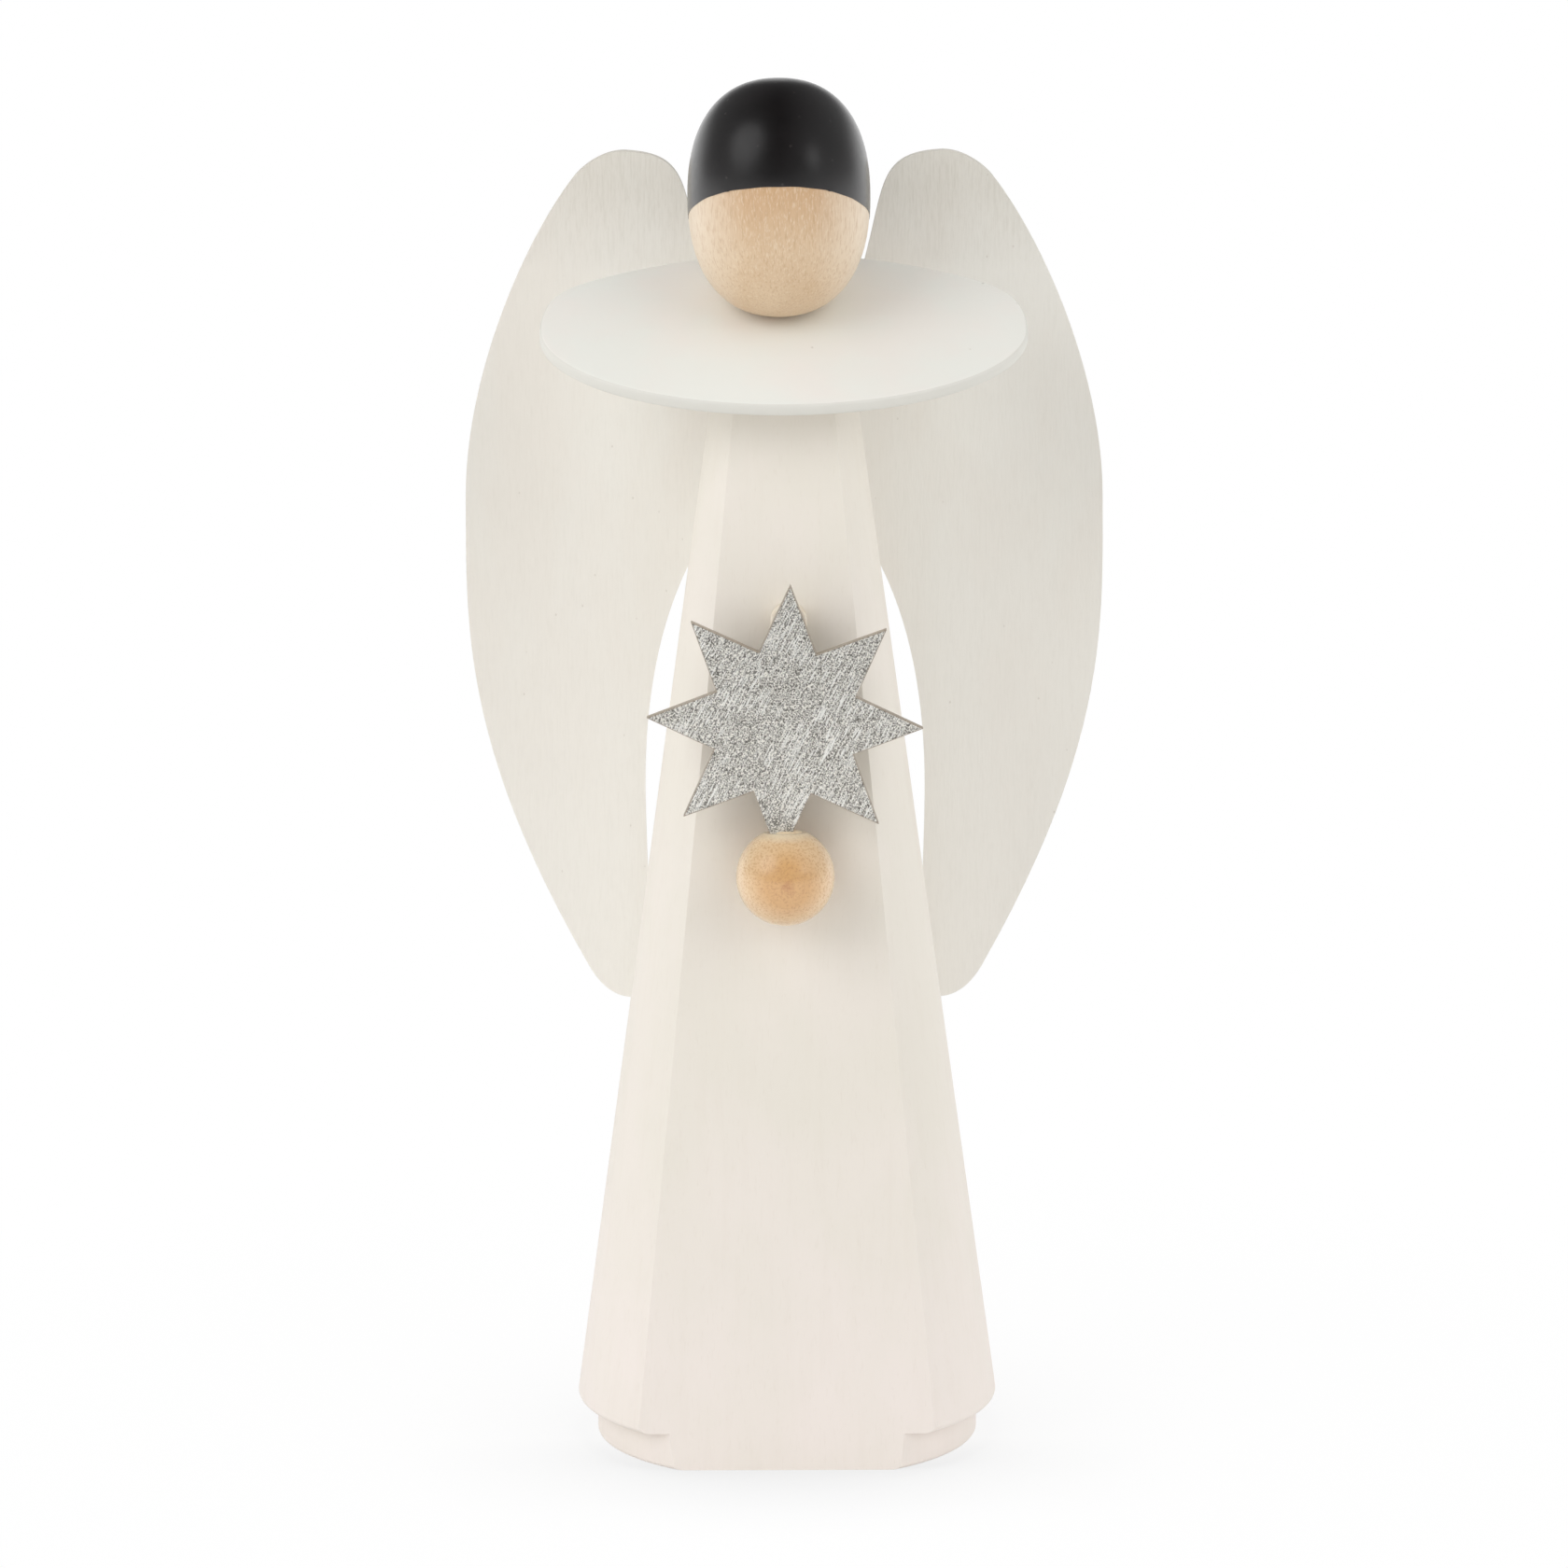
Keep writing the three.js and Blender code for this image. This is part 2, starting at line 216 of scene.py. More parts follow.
class Finish(Wiring):  # one material, patterned on the object's own coordinates, its look in a dictionary

    def __init__(self, name, look):
        self.look = look
        self.material = bpy.data.materials.new(name)
        self.material.use_nodes = True
        super().__init__(self.material.node_tree)
        self.shader = self.tree.nodes["Principled BSDF"]
        self.place = self.add("ShaderNodeTexCoord").outputs["Object"]
        for socket, value in look.get("shader", {}).items():  # the same all over the surface
            self.shader.inputs[socket].default_value = value

    def mixed(self, amount, a, b):  # a colour is a socket, or a name in the look
        node = self.add("ShaderNodeMix", data_type="RGBA")
        self.link(amount, node.inputs[0])
        for socket, value in ((node.inputs[6], a), (node.inputs[7], b)):
            if isinstance(value, str):
                socket.default_value = fromScreen(*self.look[value])
            else:
                self.link(value, socket)
        return node.outputs[2]

    def stretched(self, sizes, turn=0):  # turned about y first, then stretched to feature sizes in mm
        node = self.add("ShaderNodeMapping", vector_type="TEXTURE")
        node.inputs["Rotation"].default_value = (0, math.radians(turn), 0)
        node.inputs["Scale"].default_value = [size * mm for size in sizes]
        self.link(self.place, node.inputs["Vector"])
        return node.outputs["Vector"]

    def around(self, middle):  # coordinates in mm, counted from a middle
        node = self.add("ShaderNodeMapping")
        node.inputs["Location"].default_value = [-v / mm for v in middle]
        node.inputs["Scale"].default_value = [1 / mm] * 3
        self.link(self.place, node.inputs["Vector"])
        return node.outputs["Vector"]

    def noiseOn(self, vector, scale, detail, rough):
        node = self.add("ShaderNodeTexNoise")
        node.inputs["Scale"].default_value = scale
        node.inputs["Detail"].default_value = detail
        node.inputs["Roughness"].default_value = rough
        self.link(vector, node.inputs["Vector"])
        return node.outputs["Fac"]

    def noise(self, size, detail, rough, turn=0):  # noise with features of a size named in the look
        return self.noiseOn(self.stretched(self.look[size], turn), 1, detail, rough)

    def specks(self, size):  # distance to the nearest speck, whose spacing is named in the look
        node = self.add("ShaderNodeTexVoronoi")
        node.inputs["Scale"].default_value = 1
        self.link(self.stretched(self.look[size]), node.inputs["Vector"])
        return node.outputs["Distance"]

    def byHeight(self, span, low, high):  # changes over a span of heights named in the look
        start, end = self.look[span]
        return self.ranged(self.split(self.place)[2], start * mm, end * mm, low, high)

    def sawnEdge(self):
        return self.add("ShaderNodeAttribute", attribute_name="sawnEdge").outputs["Fac"]

    def bump(self, height, strength, depth):  # depth in mm
        node = self.add("ShaderNodeBump")
        node.inputs["Strength"].default_value = strength
        node.inputs["Distance"].default_value = depth * mm
        self.link(height, node.inputs["Height"])
        self.link(node.outputs["Normal"], self.shader.inputs["Normal"])

    def color(self, socket):
        self.link(socket, self.shader.inputs["Base Color"])

    def rough(self, socket):
        self.link(socket, self.shader.inputs["Roughness"])


# Finishes: colours as on a screen, sizes and heights in mm

glaze = {
    "white": (235, 229, 218), "foot": (242, 233, 226), "band": (222, 212, 198), "pore": (208, 195, 178),
    "cloudSize": (11, 11, 15), "bandSize": (1.1, 1.1, 24), "poreSize": (0.25, 0.25, 1.6),
    "footBounceSpan": (4, 40), "shader": {"Specular IOR Level": 0.35},
}


def bodyGlaze():  # thin white glaze, hardly any grain left, a little pinker towards the foot, and painted lighter there for the light the floor bounces up
    f = Finish("bodyGlaze", glaze)
    cloud = f.noise("cloudSize", 3, 0.55)
    band, pore = f.noise("bandSize", 3, 0.6), f.noise("poreSize", 2, 0.6)
    # painted light: the glaze is made lighter towards the foot to stand in for the floor's bounced light;
    # the pinker tint is its own
    low = f.sums("ADD", f.byHeight("footBounceSpan", 0.75, 0), f.ranged(cloud, 0.35, 0.65, -0.15, 0.3))
    base = f.mixed(low, "white", "foot")
    banded = f.mixed(f.ranged(band, 0.5, 0.75, 0, 0.1), base, "band")
    f.color(f.mixed(f.ranged(pore, 0.58, 0.8, 0, 0.12), banded, "pore"))
    f.rough(f.ranged(band, 0.3, 0.7, 0.48, 0.6))
    f.bump(f.sums("ADD", band, pore), strength=0.3, depth=0.01)
    return f.material


wingWhite = {
    "white": (236, 233, 225), "cream": (234, 229, 220), "bounceLit": (243, 239, 231), "bareAndShaded": (211, 206, 195),
    "fleck": (196, 190, 176), "fibre": (200, 194, 181), "speck": (176, 166, 150),
    "cloudSize": (12, 12, 26), "fleckSize": (0.28, 0.28, 2.6), "fibreSize": (0.14, 0.14, 0.9),
    "speckSize": (2.6, 2.6, 3.6), "bounceLitSpan": (45, 95), "thinSpan": (119, 128),
    "shader": {"Specular IOR Level": 0.35},
}


def wingPaint():  # white paint on veneer, painted lighter towards the tips for the light the floor bounces up, thin on the upper lobes, where the grain shows, with painted shade darkening them
    f = Finish("wingPaint", wingWhite)
    thin = f.byHeight("thinSpan", 0, 1)
    cloud = f.noise("cloudSize", 3, 0.55)
    fleck, fibre = f.noise("fleckSize", 2, 0.6), f.noise("fibreSize", 2, 0.6)
    base = f.mixed(f.ranged(cloud, 0.38, 0.62, 0, 1), "white", "cream")
    # painted light: the lower wing is made lighter, standing in for light bounced up from the floor
    bounceLit = f.mixed(f.byHeight("bounceLitSpan", 1, 0), base, "bounceLit")
    # thin paint where the grain shows, and painted shade: the upper lobes are darkened for the light the
    # collar and head keep from them
    bareAndShaded = f.mixed(f.sums("MULTIPLY", thin, 0.55), bounceLit, "bareAndShaded")
    streak = f.sums("MULTIPLY", f.ranged(fleck, 0.46, 0.72, 0, 1), f.ranged(thin, 0, 1, 0.06, 0.3))
    lined = f.mixed(streak, bareAndShaded, "fleck")
    fine = f.sums("MULTIPLY", f.ranged(fibre, 0.5, 0.75, 0, 1), f.ranged(thin, 0, 1, 0.05, 0.26))
    grained = f.mixed(fine, lined, "fibre")
    f.color(f.mixed(f.ranged(f.specks("speckSize"), 0.02, 0.05, 0.3, 0), grained, "speck"))
    f.rough(f.ranged(fleck, 0.3, 0.7, 0.52, 0.64))
    f.bump(f.sums("ADD", fleck, fibre), strength=0.35, depth=0.03)
    return f.material


collarWhite = {
    "white": (237, 237, 230), "cream": (239, 235, 228), "speck": (170, 160, 146), "rim": (224, 222, 214),
    "cloudSize": (9, 9, 9), "skinSize": (0.5, 0.5, 0.5), "speckSize": (4.5, 4.5, 4.5),
    "shader": {"Specular IOR Level": 0.35},
}


def collarPaint():  # smooth sprayed white, a few specks in it, the sawn rim darker from thinner paint and from painted shade
    f = Finish("collarPaint", collarWhite)
    cloud, skin = f.noise("cloudSize", 3, 0.5), f.noise("skinSize", 2, 0.6)
    base = f.mixed(f.ranged(cloud, 0.38, 0.62, 0, 1), "white", "cream")
    specked = f.mixed(f.ranged(f.specks("speckSize"), 0.015, 0.04, 0.35, 0), base, "speck")
    # the rim is darker partly from thinner paint on the sawn edge and partly as painted shade on an edge
    # that faces down to the front
    f.color(f.mixed(f.sums("MULTIPLY", f.sawnEdge(), 0.9), specked, "rim"))
    f.rough(f.ranged(skin, 0.3, 0.7, 0.45, 0.58))
    f.bump(skin, strength=0.25, depth=0.012)
    return f.material


faceWood = {
    "light": (222, 195, 161), "deep": (215, 185, 149), "warm": (203, 162, 118), "pale": (238, 222, 200),
    "fibre": (192, 154, 113), "fleck": (236, 219, 194),
    "cloudSize": (5, 5, 8), "fibreSize": (0.2, 0.2, 1.5), "fleckSize": (0.15, 0.15, 0.65),
    "warmSpan": (124.5, 131), "paleFrom": 3.5, "paleFull": 8.5,
    "shader": {"Specular IOR Level": 0.5, "Coat Weight": 0.6, "Coat Roughness": 0.35},
}


def headWood(middle):  # pale wood, short upright fibres, warmer towards the hair, with a painted sheen that pales it towards the sides
    f = Finish("headWood", faceWood)
    across = f.split(f.place)[0]
    aside = f.sums("ABSOLUTE", f.sums("ADD", across, -middle * mm))
    cloud = f.noise("cloudSize", 3, 0.5)
    fibre, fleck = f.noise("fibreSize", 2, 0.6), f.noise("fleckSize", 2, 0.6)
    base = f.mixed(f.ranged(cloud, 0.35, 0.65, 0, 1), "light", "deep")
    warm = f.mixed(f.byHeight("warmSpan", 0, 0.8), base, "warm")
    # painted sheen: the face pales away from its middle, standing in for the light its sides catch
    paintedSheen = f.ranged(aside, faceWood["paleFrom"] * mm, faceWood["paleFull"] * mm, 0, 0.9)
    pale = f.mixed(paintedSheen, warm, "pale")
    dark = f.mixed(f.ranged(fibre, 0.5, 0.68, 0, 0.45), pale, "fibre")
    f.color(f.mixed(f.ranged(fleck, 0.3, 0.48, 0.5, 0), dark, "fleck"))
    f.rough(f.ranged(fleck, 0.3, 0.7, 0.44, 0.58))
    f.bump(f.sums("ADD", fibre, fleck), strength=0.35, depth=0.03)
    return f.material


dowelWood = {
    "light": (240, 231, 216), "deep": (231, 217, 197), "grainSize": (0.6, 6, 0.6),
    "shader": {"Specular IOR Level": 0.35},
}


def pegWood():  # pale dowel wood
    f = Finish("pegWood", dowelWood)
    grain = f.noise("grainSize", 3, 0.6)
    f.color(f.mixed(f.ranged(grain, 0.4, 0.7, 0, 1), "light", "deep"))
    f.rough(f.ranged(grain, 0.3, 0.7, 0.5, 0.62))
    f.bump(grain, strength=0.25, depth=0.02)
    return f.material


honeyWood = {
    "rim": (236, 208, 167), "middle": (220, 173, 116), "ring": (208, 158, 106), "dot": (193, 140, 90),
    "heart": (180, 116, 70), "glued": (234, 219, 190),
    "heartAside": 0.2, "heartFull": 0.1, "heartEnd": 0.9, "middleFull": 2.2, "sheenFull": 4.8,
    "gluedBand": 0.5, "ringRate": 5.2, "ringWobble": 9, "wobbleRate": 0.45, "dotRate": 4, "patchRate": 2.2,
    "shader": {"Coat Weight": 1, "Coat Roughness": 0.2, "Coat IOR": 1.6},
}


def ballWood(centre, crown):  # end grain to the front: dots, a dark heart, a paler rim that is painted sheen, and a glued top
    f = Finish("ballWood", honeyWood)
    look = honeyWood
    near = f.around(centre)
    across, _, up = f.split(near)
    aside = f.sums("POWER", f.sums("ADD", across, -look["heartAside"]), 2)
    ring = f.sums("SQRT", f.sums("ADD", aside, f.sums("POWER", up, 2)))
    wobble = f.sums("MULTIPLY", f.noiseOn(near, look["wobbleRate"], 3, 0.5), look["ringWobble"])
    years = f.sums("SINE", f.sums("ADD", f.sums("MULTIPLY", ring, look["ringRate"]), wobble))
    dots, patchy = (f.noiseOn(near, look[rate], 3, 0.7) for rate in ("dotRate", "patchRate"))
    # painted sheen: the ball pales from its middle to its rim, standing in for light caught at its edges
    base = f.mixed(f.ranged(ring, look["middleFull"], look["sheenFull"], 1, 0), "rim", "middle")
    ringed = f.mixed(f.ranged(years, -1, 1, 0, 0.12), base, "ring")
    dotted = f.mixed(f.ranged(dots, 0.48, 0.64, 0, 0.6), ringed, "dot")
    heart = f.ranged(ring, look["heartFull"], look["heartEnd"], 0.7, 0)
    cored = f.mixed(f.sums("MULTIPLY", heart, f.ranged(patchy, 0.35, 0.6, 0.2, 1)), dotted, "heart")
    f.color(f.mixed(f.ranged(up, crown - look["gluedBand"], crown, 0, 0.6), cored, "glued"))
    f.rough(f.ranged(dots, 0.3, 0.7, 0.34, 0.46))
    f.bump(dots, strength=0.15, depth=0.02)
    return f.material


hairBlack = {
    "black": (15, 12, 13), "softBlack": (22, 18, 19), "dust": (110, 102, 98),
    "cloudSize": (4.5, 4.5, 4.5), "skinSize": (1.1, 1.1, 1.1), "dustSize": (2.1, 2.1, 2.1),
    "patchSize": (6, 6, 6), "shader": {"Coat Weight": 1, "Coat Roughness": 0.27},
}


def hairPaint():  # satin black, a few dust pimples under it
    f = Finish("hairPaint", hairBlack)
    cloud, skin = f.noise("cloudSize", 3, 0.5), f.noise("skinSize", 3, 0.6)
    patchy = f.noise("patchSize", 2, 0.5)
    dust = f.ranged(f.specks("dustSize"), 0.02, 0.09, 1, 0)
    pimple = f.sums("MULTIPLY", dust, f.ranged(patchy, 0.42, 0.6, 0.1, 1))
    base = f.mixed(f.ranged(cloud, 0.3, 0.7, 0, 1), "black", "softBlack")
    f.color(f.mixed(f.sums("MULTIPLY", pimple, 0.2), base, "dust"))
    f.rough(f.ranged(skin, 0.3, 0.7, 0.3, 0.38))
    f.bump(f.sums("ADD", f.sums("MULTIPLY", skin, 0.3), pimple), strength=0.4, depth=0.05)
    return f.material


silver = {
    "dark": (92, 88, 81), "light": (246, 243, 235), "stroke": (250, 249, 245), "dull": (128, 122, 114),
    "edge": (170, 156, 140), "strokeSize": (2, 0.6, 0.14), "strokeTurn": -62,
    "fineSize": (0.16, 0.16, 0.16), "patchSize": (4, 4, 4), "shader": {"Metallic": 0.3},
}


def silverPaint():  # silver over sawn wood: fine sparkle, saw strokes up to the right, dull sawn edges
    f = Finish("silverPaint", silver)
    stroke = f.noise("strokeSize", 2, 0.55, silver["strokeTurn"])
    fine, patch = f.noise("fineSize", 2, 0.7), f.noise("patchSize", 2, 0.5)
    sparkle = f.mixed(f.ranged(fine, 0.4, 0.6, 0, 1), "dark", "light")
    crowded = f.ranged(patch, 0.38, 0.56, 0.25, 1)
    bright = f.sums("MULTIPLY", f.ranged(stroke, 0.525, 0.615, 0, 0.85), crowded)
    stroked = f.mixed(bright, sparkle, "stroke")
    dulled = f.mixed(f.ranged(stroke, 0.32, 0.42, 0.45, 0), stroked, "dull")
    f.color(f.mixed(f.sums("MULTIPLY", f.sawnEdge(), 0.8), dulled, "edge"))
    f.rough(f.ranged(fine, 0.3, 0.7, 0.32, 0.6))
    f.bump(f.sums("ADD", fine, stroke), strength=0.5, depth=0.06)
    return f.material


print("finishes mixed")


# Body: turned cone, flat sawn front, slanted top; sizes in mm, angles in degrees

body = {
    "height": 114.65, "footRadius": 19.65, "footHeight": 3.75, "footRound": 0.5,
    "rimRadius": 21.75, "rimRound": 0.7, "taper": 7.77, "flatDistance": 15.9, "flatLean": 5.5,
    "topTilt": 27.5, "edgeRound": 0.9, "sides": 180, "spareTop": 8, "firstRing": 8, "ringStep": 6,
}
lean, tilt = math.radians(body["flatLean"]), math.radians(body["topTilt"])


def coneRadius(height):
    return body["rimRadius"] - (height - body["footHeight"]) * math.tan(math.radians(body["taper"]))


def roundCorner(x, z, radius, start, end, steps=5):
    points = []
    for i in range(steps + 1):
        a = math.radians(start + (end - start) * i / steps)
        points.append((x + radius * math.cos(a), z + radius * math.sin(a)))
    return points


def makeBody():
    foot, rim = body["footRound"], body["rimRound"]
    top = body["height"] + body["spareTop"]
    taper = math.radians(body["taper"])
    rimIn = body["rimRadius"] - rim * (1 + math.sin(taper)) / math.cos(taper)
    profile = [(0, 0)]
    profile += roundCorner(body["footRadius"] - foot, foot, foot, -90, 0)
    profile += [(body["footRadius"], body["footHeight"])]
    profile += roundCorner(rimIn, body["footHeight"] + rim, rim, -90, body["taper"])
    profile += [(coneRadius(z), z) for z in range(body["firstRing"], int(top), body["ringStep"])]
    profile += [(coneRadius(top), top), (0, top)]
    piece = turnOnLathe("angelBody", profile, body["sides"])
    sawOff(piece, (0, -body["flatDistance"], 0), (0, -math.cos(lean), math.sin(lean)))
    sawOff(piece, (0, 0, body["height"]), (0, -math.sin(tilt), math.cos(tilt)))
    roundEdges(piece, body["edgeRound"], segments=5, angle=30)
    return piece


angelBody = makeBody()
print("body turned:", len(angelBody.data.polygons), "faces")


# Wings: bent sheets cut to a drawn outline; reach is from the axis, rise and fall from the root's low end

wing = {
    "thickness": 1.2, "bendRadius": 44, "bendSteps": 72, "bendOver": 3, "edgeRound": 0.3,
    "rootLow": 100.3, "rootReach": 1.6, "rootLength": 9.7, "rootSeat": 1.3, "rootHandle": 0.3,
    "rootLowHandle": 13.2, "rootLowSlope": 41.2, "rootHighHandle": 3.4,
    "waistReach": 14.55, "waistFall": 35.3, "waistUpper": 13.2, "waistLower": 9,
    "tipReach": 16.3, "tipFall": 57.8, "tipOuter": 2.6, "tipInner": 3.1, "tipSoft": 2 / 3,
    "shoulderReach": 20.7, "shoulderFall": 54.6, "shoulderHandle": 27, "shoulderSlope": 60,
    "reach": 33.1, "widestFall": 5.4, "widestUpper": 13.4, "widestLower": 12,
    "domeReach": 21.45, "domeRise": 28.65, "domeUpper": 1.05, "domeLower": 7.8, "domeSlope": 52,
    "topReach": 16.1, "topRise": 31.45, "topOuter": 2.5, "topInner": 6.3,
    "lobeReach": 8.4, "lobeRise": 21, "lobeHandle": 7.8, "lobeSlope": 75,
    "kerfGap": 0.15, "kerfRunout": 3, "kerfOver": 12, "kerfSteps": 40,
    "curveSteps": 24, "blankDepth": 40, "blankSpare": 4,
}


def wingBend():  # how far back the middle of the bend lies
    rootTop = wing["rootLow"] + wing["rootLength"]
    rootBack = math.sqrt((coneRadius(rootTop) - wing["rootSeat"]) ** 2 - wing["rootReach"] ** 2)
    swing = math.asin((wing["reach"] - wing["rootReach"]) / wing["bendRadius"])
    return rootBack - wing["bendRadius"] * math.cos(swing)


def bentSheet(name, side, thickness, reach, low, high, steps):
    middle = wingBend()
    swing = math.asin((wing["reach"] - reach) / wing["bendRadius"])
    back = middle + wing["bendRadius"] * math.cos(swing)
    piece = onePoint(name, side * reach, back, low)
    bpy.ops.mesh.spin(steps=steps, angle=side * (swing + math.radians(wing["bendOver"])),
                      center=(side * wing["reach"] * mm, middle * mm, low * mm), axis=(0, 0, 1))
    bpy.ops.mesh.select_all(action="SELECT")
    pullOut(0, 0, high - low)
    closeUp()
    cleanShell(piece)
    wall = piece.modifiers.new("wall", "SOLIDIFY")
    wall.thickness = thickness * mm
    wall.offset = 0
    wall.use_even_offset = True
    applyAll(piece)
    cleanShell(piece)
    return piece


def wingOutline(side):  # closed curve of (point, handle before, handle after)
    w = wing
    up, down, inward = 90, -90, 180

    def at(reach, rise, length=0, slope=0):  # a point, or the end of a handle from it
        a = math.radians(slope)
        across = side * (reach + length * math.cos(a))
        return Vector((across, w["rootLow"] + rise + length * math.sin(a), 0)) * mm

    root, rootTop = (w["rootReach"], 0), (w["rootReach"], w["rootLength"])
    waist, tip = (w["waistReach"], -w["waistFall"]), (w["tipReach"], -w["tipFall"])
    shoulder, widest = (w["shoulderReach"], -w["shoulderFall"]), (w["reach"], -w["widestFall"])
    dome, top = (w["domeReach"], w["domeRise"]), (w["topReach"], w["topRise"])
    lobe = (w["lobeReach"], w["lobeRise"])
    tipCorner = at(*tip, w["tipOuter"])
    toCorner = [at(*spot).lerp(tipCorner, w["tipSoft"]) for spot in (tip, shoulder)]
    rootHandle = w["rootHandle"] * w["rootLength"]
    return [
        (at(*root), at(*root, rootHandle, up), at(*root, w["rootLowHandle"], -w["rootLowSlope"])),
        (at(*waist), at(*waist, w["waistUpper"], up), at(*waist, w["waistLower"], down)),
        (at(*tip), at(*tip, w["tipInner"], inward), toCorner[0]),
        (at(*shoulder), toCorner[1], at(*shoulder, w["shoulderHandle"], w["shoulderSlope"])),
        (at(*widest), at(*widest, w["widestLower"], down), at(*widest, w["widestUpper"], up)),
        (at(*dome), at(*dome, w["domeLower"], -w["domeSlope"]), at(*dome, -w["domeUpper"], -w["domeSlope"])),
        (at(*top), at(*top, w["topOuter"]), at(*top, w["topInner"], inward)),
        (at(*lobe), at(*lobe, w["lobeHandle"], w["lobeSlope"]), at(*lobe, -w["lobeHandle"], w["lobeSlope"])),
        (at(*rootTop), at(*rootTop, w["rootHighHandle"]), at(*rootTop, rootHandle, down)),
    ]


def wingBlank(name, side):  # the outline as a thick block, to cut the sheet with
    startFresh()
    bpy.ops.curve.primitive_bezier_curve_add(radius=mm)
    drawn = bpy.context.active_object
    drawn.data.dimensions = "2D"
    drawn.data.fill_mode = "BOTH"
    drawn.data.resolution_u = wing["curveSteps"]
    drawn.data.splines.clear()
    line = drawn.data.splines.new("BEZIER")
    outline = wingOutline(side)
    line.bezier_points.add(len(outline) - 1)
    line.use_cyclic_u = True
    for spot, (point, before, after) in zip(line.bezier_points, outline):
        spot.handle_left_type = spot.handle_right_type = "FREE"
        spot.co, spot.handle_left, spot.handle_right = point, before, after
    bpy.ops.object.convert(target="MESH")
    blank = named(name)
    faceFront(blank)
    openUp(blank)
    bpy.ops.mesh.remove_doubles(threshold=weldDistance)
    pullOut(0, wing["blankDepth"], 0)
    closeUp()
    cleanShell(blank)
    return blank


def makeWing(name, side):
    low = wing["rootLow"] - wing["tipFall"] - wing["blankSpare"]
    high = wing["rootLow"] + wing["topRise"] + wing["blankSpare"]
    blank = wingBlank(name + "Blank", side)
    piece = bentSheet(name, side, wing["thickness"], wing["rootReach"], low, high, wing["bendSteps"])
    cutWith(piece, blank, "INTERSECT")
    roundEdges(piece, wing["edgeRound"], segments=3, angle=40)
    smoothOver(piece, angle=35)
    return piece


def cutKerf(side):  # saw cut in the body for a wing root
    gap = wing["kerfGap"]
    low, high = wing["rootLow"] - wing["kerfRunout"], body["height"] + wing["kerfOver"]
    tool = bentSheet("kerfTool", side, wing["thickness"] + 2 * gap, wing["rootReach"] - gap,
                     low, high, wing["kerfSteps"])
    cutWith(angelBody, tool, "DIFFERENCE")


for side in (-1, 1):
    cutKerf(side)
smoothOver(angelBody, angle=28)
finishPiece(angelBody, "body", bodyGlaze())
veneer = wingPaint()
for name, node, side in (("wingSheetLeft", "wing_left", -1), ("wingSheetRight", "wing_right", 1)):
    sheet = makeWing(name, side)
    finishPiece(sheet, node, veneer)
    print("wing bent and cut:", len(sheet.data.polygons), "faces")


# Collar: thin oval plate on the slanted top

collar = {
    "width": 49.5, "depth": 25.7, "thickness": 1.5, "cornerFull": 0.47, "cornerPower": 8,
    "wingGap": 0.6, "edgeRound": 0.35, "sides": 200,
}
glueLine = 0.1
collarSeat = body["height"] + glueLine / math.cos(tilt)
collarTop = collarSeat + collar["thickness"] / math.cos(tilt)


def collarBack():  # the plate stops just short of the wings
    swing = math.asin((wing["reach"] - wing["lobeReach"]) / wing["bendRadius"])
    wingFront = wingBend() + (wing["bendRadius"] - wing["thickness"] / 2) * math.cos(swing)
    atLobe = math.sqrt(1 - (2 * wing["lobeReach"] / collar["width"]) ** 2)
    return wingFront - collar["wingGap"] - collar["depth"] / 2 * math.cos(tilt) * atLobe


def makeCollar():
    startFresh()
    thickness = collar["thickness"] * mm
    bpy.ops.mesh.primitive_cylinder_add(vertices=collar["sides"], radius=0.5, depth=thickness)
    piece = named("collarPlate")
    openUp(piece)
    bpy.ops.transform.resize(value=(collar["width"] * mm, collar["depth"] * mm, 1))  # from a disc 1 m wide
    shape = bmesh.from_edit_mesh(piece.data)
    for vert in shape.verts:  # the back corners are a little fuller than an oval's
        if vert.co.y > 0:
            outwards = 2 * abs(vert.co.x) / (collar["width"] * mm)
            vert.co.y *= 1 + collar["cornerFull"] * outwards ** collar["cornerPower"]
    bmesh.update_edit_mesh(piece.data)
    bpy.ops.transform.translate(value=(0, 0, thickness / 2))
    closeUp()
    roundEdges(piece, collar["edgeRound"], segments=3, angle=50)
    markSawn(piece, level=0.9)
    back = collarBack()
    piece.rotation_euler = (tilt, 0, 0)
    piece.location = (0, back * mm, (collarSeat + back * math.tan(tilt)) * mm)
    settle(piece)
    smoothOver(piece, angle=35)
    return piece


collarPlate = makeCollar()
finishPiece(collarPlate, "collar", collarPaint())
print("collar cut")


# Head: egg with a sanded seat, hair brushed on

head = {
    "width": 18.45, "height": 24.1, "crown": 2.36, "chin": 2.31, "seat": 1.2, "seatRound": 0.2,
    "back": 0.8, "aside": -0.45, "steps": 120, "rings": 60,
    "hairTilt": 26, "hairDrop": 2.0, "paint": 0.05, "paintIn": 0.15,
    "waver": 0.04, "wavers": 5, "waverStart": 0.6, "ripple": 0.02, "ripples": 17,
}


def eggProfile(grow):
    points = []
    for i in range(head["rings"] + 1):
        a = math.pi * (i / head["rings"] - 0.5)
        power = 2 / (head["chin"] if a < 0 else head["crown"])
        r = (head["width"] / 2 + grow) * abs(math.cos(a)) ** power if 0 < i < head["rings"] else 0
        z = (head["height"] / 2 + grow) * math.copysign(abs(math.sin(a)) ** power, a)
        points.append((r, z))
    return points


eggReach = max(r * math.sin(tilt) - z * math.cos(tilt) for r, z in eggProfile(0))
headSeat = collarTop + head["back"] * math.tan(tilt) + glueLine / math.cos(tilt)
headMiddle = (head["aside"], head["back"], headSeat + (eggReach - head["seat"]) / math.cos(tilt))


def putOnCollar(piece):
    piece.location = Vector(headMiddle) * mm
    settle(piece)
    smoothOver(piece, angle=40)


